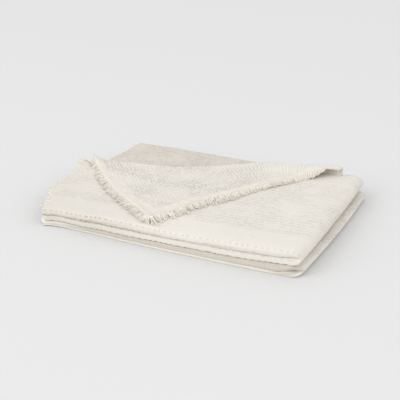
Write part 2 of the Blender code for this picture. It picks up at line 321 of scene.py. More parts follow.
# Soft creases of the top in mm: from one point to another, half width and height
creases = (
    (-60, -116, 190, -122, 11, -0.5),
    (-208, -30, -120, -96, 15, 0.9),
    (150, -148, 206, -60, 12, -0.8),
    (60, -60, 165, 55, 18, 0.6),
    (118, 30, 206, 96, 12, -0.6),
    (-90, 118, 35, 152, 10, 0.6),
    (-226, -112, -176, -150, 12, -0.8),
    (-30, -128, 70, -96, 12, 0.5),
)

# The hem's raised rim and the dip inside it: leg, distance from it and half width in mm, height
hemRidges = (("right", 0, 4, 1.0), ("left", 4, 4, 1.0), ("right", 13, 4, -0.6), ("left", 15, 5, -0.6))

# Unevenness: height, rate along x, rate across y or from run to run, and a start of its own
unevenness = {
    "crumple": (0.6 * mm, 30, 24, 3.1),
    "front": (1.1 * mm, 21, 5.3, 1.7),
    "back": (1.1 * mm, 17, 4.1, 8.3),
    "edge": (1.0 * mm, 26, 3.7, 4.9),
    "bead": (1.0, 42, 1.1, 5.1),
}

# Rows of points past the front fold's start, or past its end, where a tint or the painted shade of the sunk
# lines begins and is full
foldRows = {
    "band": (0, 2),
    "endBand": (3, 6),
    "endBandLast": (2, 0),
    "tanAndShade": (-2, 2),
    "grooveStart": (4, 1),
    "grooveEnd": (-4, -1),
    "grooved": (-4, 2),
}

# Sunk line above and below each front fold, darkened as painted shade and sunk in the bump: its depth at the
# left and at the right of each run's fold; the corner darkens the lower pack near the right turn, below the
# seam, with painted shade
grooves = {
    "rightX": (-0.180, 0.120),
    "topEnd": (1.0, 0.15),
    "secondStart": (0.4, 0.8),
    "secondEnd": (0.9, 0.2),
    "thirdStart": (0.3, 0.6),
    "dim": 0.6,
    "dimX": (0.100, 0.150),
    "lowest": 0.12,
    "lowestRow": 6,
    "lowestHalf": 3,
    "corner": 0.4,
    "cornerFrom": 0.180,
    "cornerX": (0.185, 0.200),
    "cornerTurn": (0.40, 0.20),
}


def ramp(value, start, end):
    share = min(max((value - start) / (end - start), 0.0), 1.0)
    return share * share * (3 - 2 * share)


def fade(name, value):
    return ramp(value, *cloth[name])


def fadePart(name, value):
    amount, start, end = cloth[name]
    return amount * ramp(value, start, end)


def hump(value, middle, half):
    return math.exp(-(((value - middle) / half) ** 2))


def mix(a, b, share):
    return a + (b - a) * share


def along(rows, value, column=1):
    last = len(rows) - 1
    value = min(max(value, rows[0][0]), rows[last][0])
    spot = next(i for i in range(last) if value <= rows[i + 1][0])
    x0, x1 = rows[spot][0], rows[spot + 1][0]
    y0, y1 = rows[spot][column], rows[spot + 1][column]
    before, after = rows[max(spot - 1, 0)], rows[min(spot + 2, last)]
    slope0 = (y1 - before[column]) / (x1 - before[0]) * (x1 - x0)
    slope1 = (after[column] - y0) / (after[0] - x0) * (x1 - x0)
    t = (value - x0) / (x1 - x0)
    start = (2 * t**3 - 3 * t**2 + 1) * y0 + (t**3 - 2 * t**2 + t) * slope0
    return start + (3 * t**2 - 2 * t**3) * y1 + (t**3 - t**2) * slope1


def reachAlong(points):
    reach = [0.0]
    for first, second in zip(points, points[1:]):
        reach.append(reach[-1] + (second - first).length)
    return reach


def plan(rows, x):
    return along(rows, x / mm) * mm


def uneven(name, x, other):
    height, rate, otherRate, start = unevenness[name]
    return height * noise.noise(Vector((x * rate, other * otherRate, start)))


def pressedLow(x):
    return fadePart("pressX", x)


def sagged(x, y):
    return fade("sagX", x) * fade("sagY", y)


def creased(x, y):
    total, kept = 0.0, cloth["creaseEnds"]
    for x0, y0, x1, y1, halfWidth, height in creases:
        way = Vector((x1 - x0, y1 - y0))
        spot = Vector((x / mm - x0, y / mm - y0))
        share = min(max(spot.dot(way) / way.length_squared, 0.0), 1.0)
        away = hump((spot - way * share).length, 0.0, halfWidth)
        total += height * mm * away * (kept + (1 - kept) * math.sin(math.pi * share))
    return total


# The height of a point of the flat stack once it has settled
def settle(x, y, z):
    puffed = fadePart("puffX", x)
    puffed = 1 + puffed * (1 - fadePart("puffFadeY", y))
    high = 1 + fadePart("riseX", x) - fadePart("sinkX", x)
    high += pressedLow(x) * (seam - base) / (upperTop - seam) - cloth["upperSag"] * sagged(x, y)
    low = puffed - pressedLow(x) - cloth["lowerSag"] * sagged(x, y)
    sunk = base + (min(z, seam) - base) * low + max(z - seam, 0.0) * high
    height = ramp(z, base, upperTop)
    waves = cloth["waves"]
    wave = sum(part * math.sin(across * x + up * y + start) for part, across, up, start in waves)
    rumple = creased(x, y) + uneven("crumple", x, y)
    lift = cloth["cornerLift"] * (fade("cornerX", x) * fade("cornerY", y))
    return Vector((x, y, sunk + (cloth["waveHeight"] * wave + rumple) * height + lift))


# Where the sheet is cut across: along each run, and round the turn from it to the next
def stationsAlong():
    found = []
    legs = (  # run, where it starts and ends, and the side of its turn
        (4, cloth["leftEndTop"], cloth["rightTurnTop"], 1),
        (3, cloth["rightTurnTop"], cloth["leftTurn"], -1),
        (2, cloth["leftTurn"], cloth["rightTurnBottom"], 1),
        (1, cloth["rightTurnBottom"], cloth["leftEndBottom"], 0),
    )
    for run, start, end, side in legs:
        count = cloth["runDivisions"][run]
        for step in range(count + 1):
            x = mix(start, end, step / count)
            fromLeft = abs(x - min(start, end))
            found.append({"runs": (run, run), "share": 0.0, "x": x, "side": 0, "fromLeft": fromLeft})
        for step in range(1, cloth["turnDivisions"] if side else 0):
            share = step / cloth["turnDivisions"]
            turn = {"runs": (run, run - 1), "share": share, "x": end, "side": side, "fromLeft": farAway}
            found.append(turn)
    return found


def stationValue(station, name):
    first, second = station["runs"]
    return mix(runs[first][name], runs[second][name], ramp(station["share"], 0, 1))


def inUpperPack(station):
    return min(station["runs"]) > 2


def lapHeight(run, lap):
    return runs[run]["first"] + runs[run]["step"] * (lap - 1)


def nearLeft(station):
    return 1 - ramp(station["fromLeft"], 0.0, cloth["leftFanReach"])


def fanOut(station, y, lap):
    if station["runs"] not in ((4, 4), (1, 1)):
        return 0.0
    height, rate = cloth["fanWave"]
    spread = fade("fanFrontY", y) * (1 - fadePart("fanBackY", y))
    spread += height * math.sin(rate * y)
    share, behind = cloth["fanBottom"], 0.0
    if station["runs"] == (4, 4):
        share = mix(1.0, cloth["fanSecondLap"], min(lap - 1, 1))
        behind = cloth["backEnd"] * fade("backEndY", y) if lap > 1.5 else 0.0
    return (cloth["leftFan"] * max(spread, 0) * share + behind) * nearLeft(station)


def sheetPoint(station, y, lap):
    first, second = station["runs"]
    top, bottom = lapHeight(first, lap), lapHeight(second, lap)
    radius = (top - bottom) / 2
    angle = math.pi * station["share"]
    nose = cloth["noses"].get(station["runs"], 1.0)
    x = station["x"] + station["side"] * nose * radius * math.sin(angle)
    z = (top + bottom) / 2 + radius * math.cos(angle) if station["side"] else top
    bow = 1 - ((y - cloth["bulgeMiddle"]) / cloth["bulgeHalf"]) ** 2
    x += stationValue(station, "bulge") * bow * fade("bulgeX", x)
    if inUpperPack(station):
        x -= cloth["topSlant"] * y / cloth["bulgeHalf"] * fade("bulgeX", x)
    x -= fanOut(station, y, lap)
    if station["runs"] == (4, 4) and lap < 1.5:
        lift, middle, half = cloth["tip"]
        reach = 1 - fade("tipReach", station["fromLeft"])
        z += lift * max(1 - abs(y - middle) / half, 0.0) * reach
        drop, middle, half = cloth["dip"]
        z -= drop * hump(y, middle, half) * (1 - fade("dipReach", station["fromLeft"]))
    return settle(x, y, z)


# The sheet's thickness as a share of the upper one
def sheetLoft(station, y, behind):
    turn = 1 - cloth["turnPress"] * math.sin(math.pi * station["share"])
    swell, pressed = cloth["frontLoft"], 1.0
    if not inUpperPack(station):
        swell, pressed = cloth["lowFrontLoft"], 1 - cloth["pressThins"] * pressedLow(station["x"])
    pressed -= cloth["upperSag"] * sagged(station["x"], y)
    swollen = 1 + swell * (1 - fade("loftBehind", behind))
    return stationValue(station, "loft") * turn * pressed * swollen


def inFlap(station):
    return station["runs"] == (4, 4) and station["x"] <= cloth["flapRightEnd"]


def hingeY(station):
    reach = cloth["hingeFan"] * cloth["leftFan"] * nearLeft(station)
    return plan(hingeCurve, station["x"] - reach)


def loopRadius(station):
    first, second = (abs(runs[run]["step"]) / 2 for run in station["runs"])
    return mix(first, second, ramp(station["share"], 0, 1))


# The lap that the front fold reaches down to, which closes up before the right turns
def foldReach(station):
    turn = cloth["rightTurnTop" if inUpperPack(station) else "rightTurnBottom"]
    closing = ramp(station["x"], cloth["closeFrom"], turn - cloth["closeBefore"])
    return mix(stationValue(station, "reach"), cloth["closedReach"], closing)


def foldLines(station, run, loop):
    x = station["x"]
    setback = stationValue(station, "front")
    setback *= 1 - fadePart("setbackRight", x)
    setback *= 1 - fadePart("setbackLeft", x)
    rounded = cloth["turnRound"].get(station["runs"], 0.0)
    rounded *= 1 - abs(math.cos(math.pi * station["share"]))
    front = plan(frontCurve, x) + setback + loop + uneven("front", x, run) + rounded
    back = plan(backCurve, x) - loop + uneven("back", x, run)
    return front, back


def frontFold(station, front, loop, reach):
    places, x = [], station["x"]
    bulge = loop * (1 + cloth["rollBulge"] * (reach - 2))
    bead = mix(*cloth["beadDepths"], fade("beadX", x))
    beat = x / cloth["beadPitch"] + uneven("bead", x, 2)
    bead += cloth["beadSwing"] * math.cos(2 * math.pi * beat)
    divisions = cloth["frontDivisions"]
    for i in range(divisions + 1):
        angle = math.pi * i / divisions
        squareness = mix(stationValue(station, "start"), stationValue(station, "end"), i / divisions)
        out = bulge * max(math.sin(angle), 0.0) ** squareness
        droop = stationValue(station, "droop") * math.sin(angle) ** 2
        droop = droop * max(math.cos(angle), 0.0) ** 0.5 * bead
        places.append((front - out, 1 + (reach - 1) * (1 - math.cos(angle)) / 2 - 2 * droop))
    return places


# The sheet's way across at a station, as pairs of y and lap, where 1.5 is halfway between two laps
def crossSection(station):
    x, run = station["x"], station["runs"][0] - station["share"]
    loop, reach = loopRadius(station), foldReach(station)
    front, back = foldLines(station, run, loop)
    tucked = 0.0 if station["runs"][0] == 4 else cloth["backTuck"]
    start = hingeY(station) if inFlap(station) else back - tucked
    behind = front + cloth["foldReturn"]
    tuck = (cloth["foldReturn"] + cloth["edgeTuck"]) * fade("tuckReach", reach)
    edge = front - loop + stationValue(station, "edge") + uneven("edge", x, run) + tuck
    laps, turns = cloth["lapDivisions"], cloth["backDivisions"]
    returns = cloth["returnDivisions"]
    places = [(mix(start, front, (i / laps) ** cloth["frontCrowding"]), 1.0) for i in range(laps)]
    places += frontFold(station, front, loop, reach)
    for i in range(1, returns + 1):
        places.append((mix(front, behind, i / returns), mix(reach, 2.0, ramp(i / returns, 0, 1))))
    places += [(mix(behind, back, i / laps), 2.0) for i in range(1, laps)]
    for i in range(turns + 1):
        angle = math.pi * i / turns
        places.append((back + loop * math.sin(angle), 2.5 - 0.5 * math.cos(angle)))
    places += [(mix(back, edge, i / laps), 3.0) for i in range(1, laps + 1)]
    return places


# A point of the crease that the corner is turned back along, and the way out from it
def hingePoint(flap, share):
    spot = min(max(share, 0.0), 1.0) * (len(flap) - 1)
    low = min(int(spot), len(flap) - 2)
    near = [flap[min(max(low + i, 0), len(flap) - 1)] for i in (-4, 0, 1, 5)]
    before, start, end, after = (Vector((s["x"] - fanOut(s, hingeY(s), 1), hingeY(s))) for s in near)
    way = mix(end - before, after - start, spot - low).normalized()
    return mix(start, end, spot - low), Vector((-way.y, way.x))


def legPoint(share):
    return Vector((along(rightLeg, share, 1), along(rightLeg, share, 2))) * mm


def flapPlace(flap, share, row):
    hinge, out = hingePoint(flap, share)
    radius = along(turnRadius, share) * mm
    drawn = Vector((cloth["tipShift"] * (1 - fade("tipShare", share)), 0))
    if row < 0:
        angle = math.pi * (1 + row)
        spot = hinge + out * radius * math.sin(angle) + drawn * fade("tipRow", row)
        return settle(spot.x, spot.y, upperTop + radius * (1 - math.cos(angle)))
    hinge = hinge + drawn
    bow = Vector(cloth["legBow"]) * mm * math.sin(math.pi * row) * (1 - share) ** cloth["legBowFade"]
    spot = mix(hinge, legPoint(share), row) + bow
    fallen = ramp((spot - hinge).length, 0.0, cloth["flapSettle"])
    ripple = cloth["flapRipple"] * math.sin(cloth["flapRippleRate"] * (spot.x + spot.y))
    away = {"right": (legPoint(share) - spot).length / mm, "left": share * cloth["creaseLength"] / mm}
    ridge = sum(height * hump(away[leg], middle, half) for leg, middle, half, height in hemRidges)
    rise = ripple * fade("flapRippleRow", row)
    rise += cloth["hemRidge"] * ridge * fade("hemRidgeRow", row)
    arch = cloth["archLift"] * fade("archShare", share)
    return settle(spot.x, spot.y, upperTop + mix(2 * radius, cloth["flapRest"] + arch, fallen) + rise)


# Each station with its points, and with the flat sheet's length and widths there
def clothRows(stations):
    rows, length, before = [], 0.0, None
    for station in stations:
        places = crossSection(station)
        points = [sheetPoint(station, y, lap) for y, lap in places]
        spot = points[foldFrom - 2]
        length += (spot - before).length if before else 0.0
        before = spot
        widths = reachAlong(points)
        row = {"station": station, "places": places, "points": points, "length": length}
        rows.append({**row, "widths": [width - widths[foldFrom] for width in widths]})
    return rows


def foldRamp(name, j):
    return ramp(j, *foldRows[name])


# How much painted shade falls on the lower pack's recessed front fold, and on the bottom run's loop near the
# right turn
def bandShade(station, j):
    x, share = station["x"], station["share"]
    if station["runs"] == (1, 1) or share > 0.5:
        if min(station["runs"]) > 1:
            return 0.0
        inLoop = foldRamp("endBand", j - foldFrom) * foldRamp("endBandLast", j - foldTo)
        return inLoop * fade("endBandX", x)
    if station["runs"] not in ((2, 2), (2, 1)):
        return 0.0
    return foldRamp("band", j - foldFrom) * fade("bandX", x) * fade("bandTurn", share)


# A darker, browner tone on the strip behind the crease and on the turned-back side; on the upper pack's left
# part and its front fold it is painted shade
def tanAndShadeShare(station, lap, j, behind):
    if station["runs"] == (4, 4) and 1.5 < lap < 2.5 and behind > cloth["tanBehind"]:
        return 1.0
    if not inUpperPack(station) or j > foldTo:
        return 0.0
    return fade("leftShadeX", station["x"]) * mix(*cloth["leftShadeShares"], foldRamp("tanAndShade", j - foldFrom))


# How dark the painted shade of the sunk lines is at a point; it also sinks the bump
def grooveShadeDepth(station, j):
    x, run, values = station["x"], station["runs"][0], grooves
    if j < foldFrom and not inUpperPack(station) and x > values["cornerFrom"]:
        return values["corner"] * ramp(x, *values["cornerX"]) * ramp(station["share"], *values["cornerTurn"])
    before, after = foldRows["grooved"]
    if not foldFrom + before <= j <= foldTo + after or min(station["runs"]) != run:
        return 0.0
    start, end = foldRamp("grooveStart", j - foldFrom), foldRamp("grooveEnd", j - foldTo)
    right = ramp(x, *values["rightX"])
    dim = 1 - values["dim"] * ramp(x, *values["dimX"])
    if run == 4:
        return end * mix(*values["topEnd"], right)
    if run == 3:
        return max(start * mix(*values["secondStart"], right) * dim, end * mix(*values["secondEnd"], right))
    if run == 2:
        return start * mix(*values["thirdStart"], right) * dim
    return values["lowest"] * hump(j - foldFrom, values["lowestRow"], values["lowestHalf"])


# How strong the painted shade of the dash row is on the top run's front fold
def shoulderShare(station):
    if station["runs"][0] < 4:
        return 0.0
    return mix(*cloth["shoulderShares"], fade("shoulderX", station["x"]))


# Lays a grid on the folds, and returns each point's place on the flat sheet and the points along the crease
def layCloth(bm, rows, marks):
    across, down = len(rows) - 1, len(rows[0]["places"]) - 1
    bmesh.ops.create_grid(bm, x_segments=across, y_segments=down, size=1.0)
    laid, hinge = {}, {}
    for vert in bm.verts:
        i = round((vert.co.x + 1) / 2 * across)
        j = round((vert.co.y + 1) / 2 * down)
        row = rows[i]
        station, (y, lap) = row["station"], row["places"][j]
        behind = y - row["places"][foldFrom][0]
        vert.co = row["points"][j]
        vert[marks["loft"]][0] = sheetLoft(station, y, behind)
        vert[marks["hem"]] = farAway
        vert[marks["band"]] = bandShade(station, j)
        vert[marks["grooveShade"]] = grooveShadeDepth(station, j)
        vert[marks["shoulder"]] = shoulderShare(station)
        vert[marks["tanAndShade"]] = tanAndShadeShare(station, lap, j, behind)
        laid[vert] = (row["length"], row["widths"][j])
        if j == 0 and inFlap(station):
            hinge[vert] = i
    return laid, hinge


def flapRows():
    turns, rows, edgeFrom = cloth["flapTurnDivisions"], cloth["flapRows"], cloth["edgeFrom"]
    edge = cloth["edgeRows"]
    places = [-1 + step / turns for step in range(1, turns)]
    places += [edgeFrom * step / rows for step in range(rows + 1)]
    return places + [mix(edgeFrom, 1.0, (step + 1) / edge) for step in range(edge)]


# Draws the turned-back corner out of the crease, one row after another
def growFlap(bm, rows, flap, marks, laid, hinge):
    count = len(flap) - 1
    legs = [legPoint(i / count) for i in range(count + 1)]
    reach = reachAlong(legs)
    edges = [edge for edge in bm.edges if all(vert in hinge for vert in edge.verts)]
    before = {i: vert.co.copy() for vert, i in hinge.items()}
    width = {i: laid[vert][1] for vert, i in hinge.items()}
    for row in flapRows():
        grown = bmesh.ops.extrude_edge_only(bm, edges=edges)["geom"]
        edges = [item for item in grown if isinstance(item, bmesh.types.BMEdge)]
        lying, beneath = max(row, 0.0), {}
        for vert in (item for item in grown if isinstance(item, bmesh.types.BMVert)):
            for edge in vert.link_edges:
                if edge.other_vert(vert) in hinge:
                    beneath[vert] = hinge[edge.other_vert(vert)]
        for vert, i in beneath.items():
            vert.co = flapPlace(flap, i / count, row)
            width[i] -= (vert.co - before[i]).length
            before[i] = vert.co.copy()
            length = rows[i]["length"]
            laid[vert] = (mix(length, reach[i] * rows[count]["length"] / reach[-1], lying), width[i])
            fromApex = (vert.co.xy - legs[0]).length
            nearApex = mix(cloth["apexPlain"], 1.0, fade("apexAway", fromApex))
            toLeg = (vert.co.xy - legs[i]).length if row > 0 else farAway
            vert[marks["hem"]] = min(mix(length, reach[i], lying), toLeg) * nearApex
            vert[marks["loft"]][0] = 1.0
            vert[marks["ripple"]] = fade("rippleRow", row)
            vert[marks["tanAndShade"]] = cloth["flapTan"]
        hinge = beneath


def turnFacesUp(bm):
    bmesh.ops.recalc_face_normals(bm, faces=bm.faces)
    spot = Vector((*cloth["openTop"], upperTop))
    probe = min(bm.faces, key=lambda face: (face.calc_center_median() - spot).length)
    if probe.normal.z < 0:
        bmesh.ops.reverse_faces(bm, faces=bm.faces)


def makeThrow():
    stations = stationsAlong()
    flap = [station for station in stations if inFlap(station)]
    rows = clothRows(stations)
    bm = bmesh.new()
    marks = {"loft": bm.verts.layers.deform.verify()}
    for name in markNames:
        marks[name] = bm.verts.layers.float.new(name)
    laid, hinge = layCloth(bm, rows, marks)
    growFlap(bm, rows, flap, marks, laid, hinge)
    flat = bm.loops.layers.uv.new("clothFlat")
    for face in bm.faces:
        face.smooth = True
        for loop in face.loops:
            loop[flat].uv = laid[loop.vert]
    turnFacesUp(bm)
    bmesh.ops.translate(bm, verts=bm.verts, vec=shift)
    mesh = bpy.data.meshes.new("throw")
    bm.to_mesh(mesh)
    bm.free()
    throw = addObject("throw", mesh)
    throw.vertex_groups.new(name="loft")
    thick = throw.modifiers.new("clothThickness", "SOLIDIFY")
    thick.thickness = cloth["upperThick"]
    thick.offset = 0
    thick.use_even_offset = False
    thick.vertex_group = "loft"
    return throw, stations, flap


throw, stations, flap = makeThrow()
print("cloth folded:", len(throw.data.vertices), "points")


# Fringe. A pair is a range or where a soft change starts and is complete, in metres from the flap's point or
# by share of the edge. The ranges of lengths and falls are shares of the strip's own.

strands = {
    "thick": 0.60 * mm,
    "tipThick": 0.30 * mm,
    "spacing": 0.44 * mm,
    "spacings": (0.6, 1.4),
    "steps": 5,
    "lean": 0.10,
    "curl": 0.08,
    "lengths": (0.62, 1.14),
    "falls": (0.8, 1.05),
    "levels": (-0.6 * mm, 1.0 * mm),
    "levelEase": 0.5,
    "starts": (0.8 * mm, 4.5 * mm),
    "tufts": (3.0 * mm, 8.0 * mm),
    "tuftGap": 0.02,
    "gather": 0.045,
    "tuftLean": 0.05,
    "tuftLeanFrom": (10 * mm, 20 * mm),
    "tuftLeanEnd": (0.93, 0.98),
    "tuftLengths": (0.74, 1.12),
    "turnReach": 4 * mm,
    "apexFrom": 14.5 * mm,
    "apexReach": 2.6 * mm,
    "apexFan": (8 * mm, 20 * mm),
    "apexSkew": (6 * mm, 20 * mm),
    "apexSpacing": 0.3,
    "apexShort": 0.65,
    "apexGrown": (8 * mm, 13 * mm),
    "rightShort": 0.40,
    "rightPart": (0.40, 0.62),
    "archShort": 0.25,
    "archFall": 4 * mm,
    "archPart": (0.82, 0.92),
    "mouthShort": 0.6,
    "mouthPart": (0.905, 0.945),
    "rollPart": (0.04, 0.30),
    "frontRoom": 1 * mm,
    "leastOut": 0.1,
    "frontShoulder": 7 * mm,
    "frontSlope": 0.9,
    "seed": 23,
    # Start and end along the edge, length, fall, lean, added length at the flap's point, added fall over the
    # roll at the left, part left bare
    "strips": {
        "flapLeftFringe": (0.04, 1.0, 14 * mm, 3.4 * mm, 0.10, 0.0, 8 * mm, (1.0, 1.0)),
        "flapRightFringe": (0.02, 0.998, 19 * mm, 4.0 * mm, -0.30, 0.9, 0.0, (0.943, 0.999)),
        "topEndFringe": (0.05, 0.965, 9 * mm, 1.2 * mm, 0.0, 0.0, 0.0, (1.0, 1.0)),
        "backEndFringe": (0.01, 0.31, 7 * mm, 1.2 * mm, 0.0, 0.0, 0.0, (1.0, 1.0)),
    },
}
stripColumns = ("start", "end", "length", "fall", "skew", "atApex", "rollFall", "bare")


def fringeRamp(name, value):
    return ramp(value, *strands[name])


def edgeLine(points):
    reach = reachAlong(points)

    def place(spot):
        spot = min(max(spot, 0.0), reach[-1])
        low = next(i for i in range(len(points) - 1) if spot <= reach[i + 1] + 1e-9)
        return mix(points[low], points[low + 1], (spot - reach[low]) / (reach[low + 1] - reach[low]))

    def line(spot):
        way = (place(spot + strands["turnReach"]) - place(spot - strands["turnReach"])).normalized()
        out = Vector((way.y, -way.x, 0)).normalized()
        return place(spot), out, way

    return line, reach[-1]


def strandLength(strip, share, fromApex, tuftLength, rng):
    far = strip["length"] * rng.uniform(*strands["lengths"])
    far *= mix(1.0, tuftLength, fringeRamp("apexFan", fromApex))
    far *= 1 + strip["atApex"] * hump(fromApex, strands["apexFrom"], strands["apexReach"])
    if not strip["atApex"]:
        return far
    far *= 1 - strands["rightShort"] * fringeRamp("rightPart", share)
    arch, mouth = fringeRamp("archPart", share), fringeRamp("mouthPart", share)
    grown = mix(strands["apexShort"], 1.0, fringeRamp("apexGrown", fromApex))
    return far * ((1 - strands["archShort"] * arch) * grown * (1 - strands["mouthShort"] * mouth))


def strandFall(strip, share, rng):
    fall = strip["fall"] * rng.uniform(*strands["falls"])
    if strip["atApex"]:
        arch = strands["archFall"] * fringeRamp("archPart", share)
        fall += arch * (1 - fringeRamp("mouthPart", share))
    return fall + strip["rollFall"] * (1 - fringeRamp("rollPart", share))


def meshFromCurve(name, curve):
    rope = addObject(name + "Curve", curve)
    bpy.context.view_layer.update()
    mesh = bpy.data.meshes.new_from_object(rope.evaluated_get(bpy.context.evaluated_depsgraph_get()))
    mesh.name = name
    bpy.data.objects.remove(rope)
    mesh.shade_smooth()
    return mesh


def makeFringe(name, points, rng):
    line, length = edgeLine(points)
    strip = dict(zip(stripColumns, strands["strips"][name]))
    bareFrom, bareTo = strip["bare"]
    curve = bpy.data.curves.new(name, "CURVE")
    curve.dimensions = "3D"
    curve.bevel_depth = 1.0
    curve.bevel_resolution = 0
    curve.use_fill_caps = True
    spot, tuftEnd = strip["start"] * length, 0.0
    while spot < strip["end"] * length:
        if spot >= tuftEnd:
            tuftWidth = rng.uniform(*strands["tufts"])
            spot, tuftEnd = spot + strands["tuftGap"] * tuftWidth, spot + tuftWidth
            middle, tuftLean = (spot + tuftEnd) / 2, strands["tuftLean"] * rng.uniform(-1, 1)
            tuftLength = rng.uniform(*strands["tuftLengths"])
        fromApex = spot - strip["start"] * length if strip["atApex"] else farAway
        tuftLean *= fringeRamp("tuftLeanFrom", fromApex) * (1 - fringeRamp("tuftLeanEnd", spot / length))
        closeness = mix(strands["apexSpacing"], 1.0, fringeRamp("apexFan", fromApex))
        spot += strands["spacing"] * rng.uniform(*strands["spacings"]) * closeness
        if bareFrom < spot / length < bareTo:
            spot = bareTo * length
        place, out, way = line(spot)
        lean = strip["skew"] * fringeRamp("apexSkew", fromApex) + tuftLean
        lean += strands["lean"] * rng.uniform(-1, 1)
        curl = strands["curl"] * rng.uniform(-1, 1)
        far = strandLength(strip, spot / length, fromApex, tuftLength, rng)
        if strip["atApex"]:  # no strand passes the front fold
            room = place.y - plan(frontCurve, place.x) - strands["frontRoom"]
            far = min(far, room * (1 + curl) / max(-out.y, strands["leastOut"]))
        fall = strandFall(strip, spot / length, rng)
        level = rng.uniform(*strands["levels"])
        root = rng.uniform(*strands["starts"])
        strand = curve.splines.new("POLY")
        strand.points.add(strands["steps"])
        for i, point in enumerate(strand.points):
            t = i / strands["steps"]
            sway = far * (lean * t + curl * math.sin(math.pi * t))
            sway -= (spot - middle) * strands["gather"] * t
            down = level * (1 - strands["levelEase"] * t) - fall * ramp(t, 0.0, 1.0)
            lies = place + out * (far * t - root * (1 - t)) + way * sway + Vector((0, 0, down))
            past = plan(frontCurve, lies.x) + strands["frontShoulder"] - lies.y
            lies.z -= strands["frontSlope"] * max(past, 0.0)
            point.co = (*(lies + shift), 1)
            point.radius = mix(strands["thick"], strands["tipThick"], t)
    return addObject(name, meshFromCurve(name, curve))


def leftEdge(lap):
    edge = sorted(place for place in crossSection(stations[0]) if place[1] == lap)
    return [sheetPoint(stations[0], *place) for place in reversed(edge)]


rng = random.Random(strands["seed"])
leftLegLine = [flapPlace(flap, 0.0, row / 30) for row in range(31)]
rightLegLine = [flapPlace(flap, i / 60, 1.0) for i in range(61)]
fringes = [
    makeFringe("flapLeftFringe", leftLegLine, rng),
    makeFringe("flapRightFringe", leftLegLine[-3:-1] + rightLegLine, rng),
    makeFringe("topEndFringe", leftEdge(1), rng),
    makeFringe("backEndFringe", leftEdge(2), rng),
]
print("fringe made:", sum(len(fringe.data.polygons) for fringe in fringes), "faces")


# Materials. Four values are a range and what it becomes. The sheet's flat coordinates are in metres.

cotton = {
    "cloth": (0.785, 0.752, 0.692),
    # hollow: darker yarn tone, and also the painted shade in the waffle hollows, threads and stitch line
    "hollow": (0.64, 0.60, 0.53),
    # painted shade in the sunk lines between folds and in the dash row behind the top fold
    "grooveShade": (0.40, 0.34, 0.27),
    # band: painted shade of the lower pack's front fold, recessed under the upper rolls
    "band": (0.62, 0.57, 0.495),
    "hem": (0.80, 0.745, 0.67),
    # darker tone of the strip behind the crease and the turned-back side, and painted shade on the upper
    # pack's left part
    "tanAndShade": (0.876, 0.85, 0.836),
    "fringe": (0.90, 0.855, 0.78),
    "fringeDeep": (0.80, 0.74, 0.65),
    "endFringe": (0.80, 0.76, 0.69),
    "backFringe": (0.76, 0.71, 0.64),
    "gloss": 0.15,
    "sheen": 0.15,
    "sheenRoughness": 0.5,
    # Yarn
    "broadScale": 9,
    "fineScale": 620,
    "broadTint": (0.3, 0.7, 0.0, 0.12),
    "yarnTint": (0.3, 0.7, 0.0, 0.14),
    "yarnRoughness": (0.3, 0.7, 0.86, 0.96),
    "hollowShade": 0.75,
    "hollowDepth": 0.7 * mm,
    "fringeDepth": 0.1 * mm,
    "fuzz": 0.12,
    # Waffle rows on the face, ripple on the turned-back side, threads on the plain parts
    "driftScale": 55,
    "dashMask": (0.42, 0.56),
    "streakScale": (140, 760, 1),
    "streakMask": (0.42, 0.66),
    "rows": (6.5 * mm, 10.6 * mm, 0.1, 0.3, 1.3, 0.4),
    "ripples": (5.2 * mm, 5.8 * mm, -0.4, 0.3, 1.5, 0.3),
    "threads": (20 * mm, 2.4 * mm, -1.0, 0.4, 1.6, 0.3),
    "patchScale": 16,
    "patchStrength": (0.35, 0.60, 0.45, 1.0),
    "rowsByLength": (100 * mm, 220 * mm, 0.75, 1.0),
    "ripplesByLength": (200 * mm, 330 * mm, 1.35, 0.8),
    "quietFront": (-58 * mm, -50 * mm),
    "quietBack": (5 * mm, 10 * mm, 1.0, 0.0),
    "quietShare": 0.75,
    "tanRows": 0.6,
    "threadShare": 0.45,
    # Plain hem and its stitched edge
    "hemWidth": 16 * mm,
    "hemSoft": (-2 * mm, 3 * mm),
    "hemBlotch": (0.40, 0.62, 0.35, 0.9),
    "stitchFade": (0.0, 1.6 * mm, 1.0, 0.0),
    "stitchShare": 0.5,
    # Dashes behind the top fold and bead marks in the grooves, painted as shade and sunk in the bump
    "wanderScale": 50,
    "dashPitch": 10.0 * mm,
    "dashWander": 1.4,
    "dashRow": (120 * mm, 380 * mm, 3.4 * mm, 1.9 * mm),
    "dashSway": 2 * mm,
    "dashFade": (0.2 * mm, 1.8 * mm, 1.0, 0.0),
    "dashEdge": (-0.6, 0.4),
    "dashShare": 0.7,
    "beadEdge": (-0.5, 0.5, 0.3, 1.0),
    "beadBlot": (0.35, 0.65, 0.7, 1.15),
    "beadShade": 0.75,
    "beadSink": 0.5,
    "bandShade": 0.8,
}
waffleColumns = ("Dash length", "Row pitch", "Row edge", "Run on", "Wander", "Streak")


def addNode(tree, kind, *values, **settings):
    node = tree.nodes.new(kind)
    for name, value in settings.items():
        setattr(node, name, value)
    for socket, value in zip(node.inputs, values):
        if isinstance(value, bpy.types.NodeSocket):
            tree.links.new(value, socket)
        elif value is not None:
            socket.default_value = value
    return node


def addMath(tree, operation, *values):
    return addNode(tree, "ShaderNodeMath", *values, operation=operation).outputs[0]


def addProduct(tree, product, *others):
    for other in others:
        product = addMath(tree, "MULTIPLY", product, other)
    return product


def addRest(tree, value):
    return addMath(tree, "SUBTRACT", 1.0, value)


def addRange(tree, value, low, high, newLow=0.0, newHigh=1.0):
    values = (value, low, high, newLow, newHigh)
    return addNode(tree, "ShaderNodeMapRange", *values, interpolation_type="SMOOTHSTEP").outputs[0]


def addFade(tree, value, name):
    return addRange(tree, value, *cotton[name])


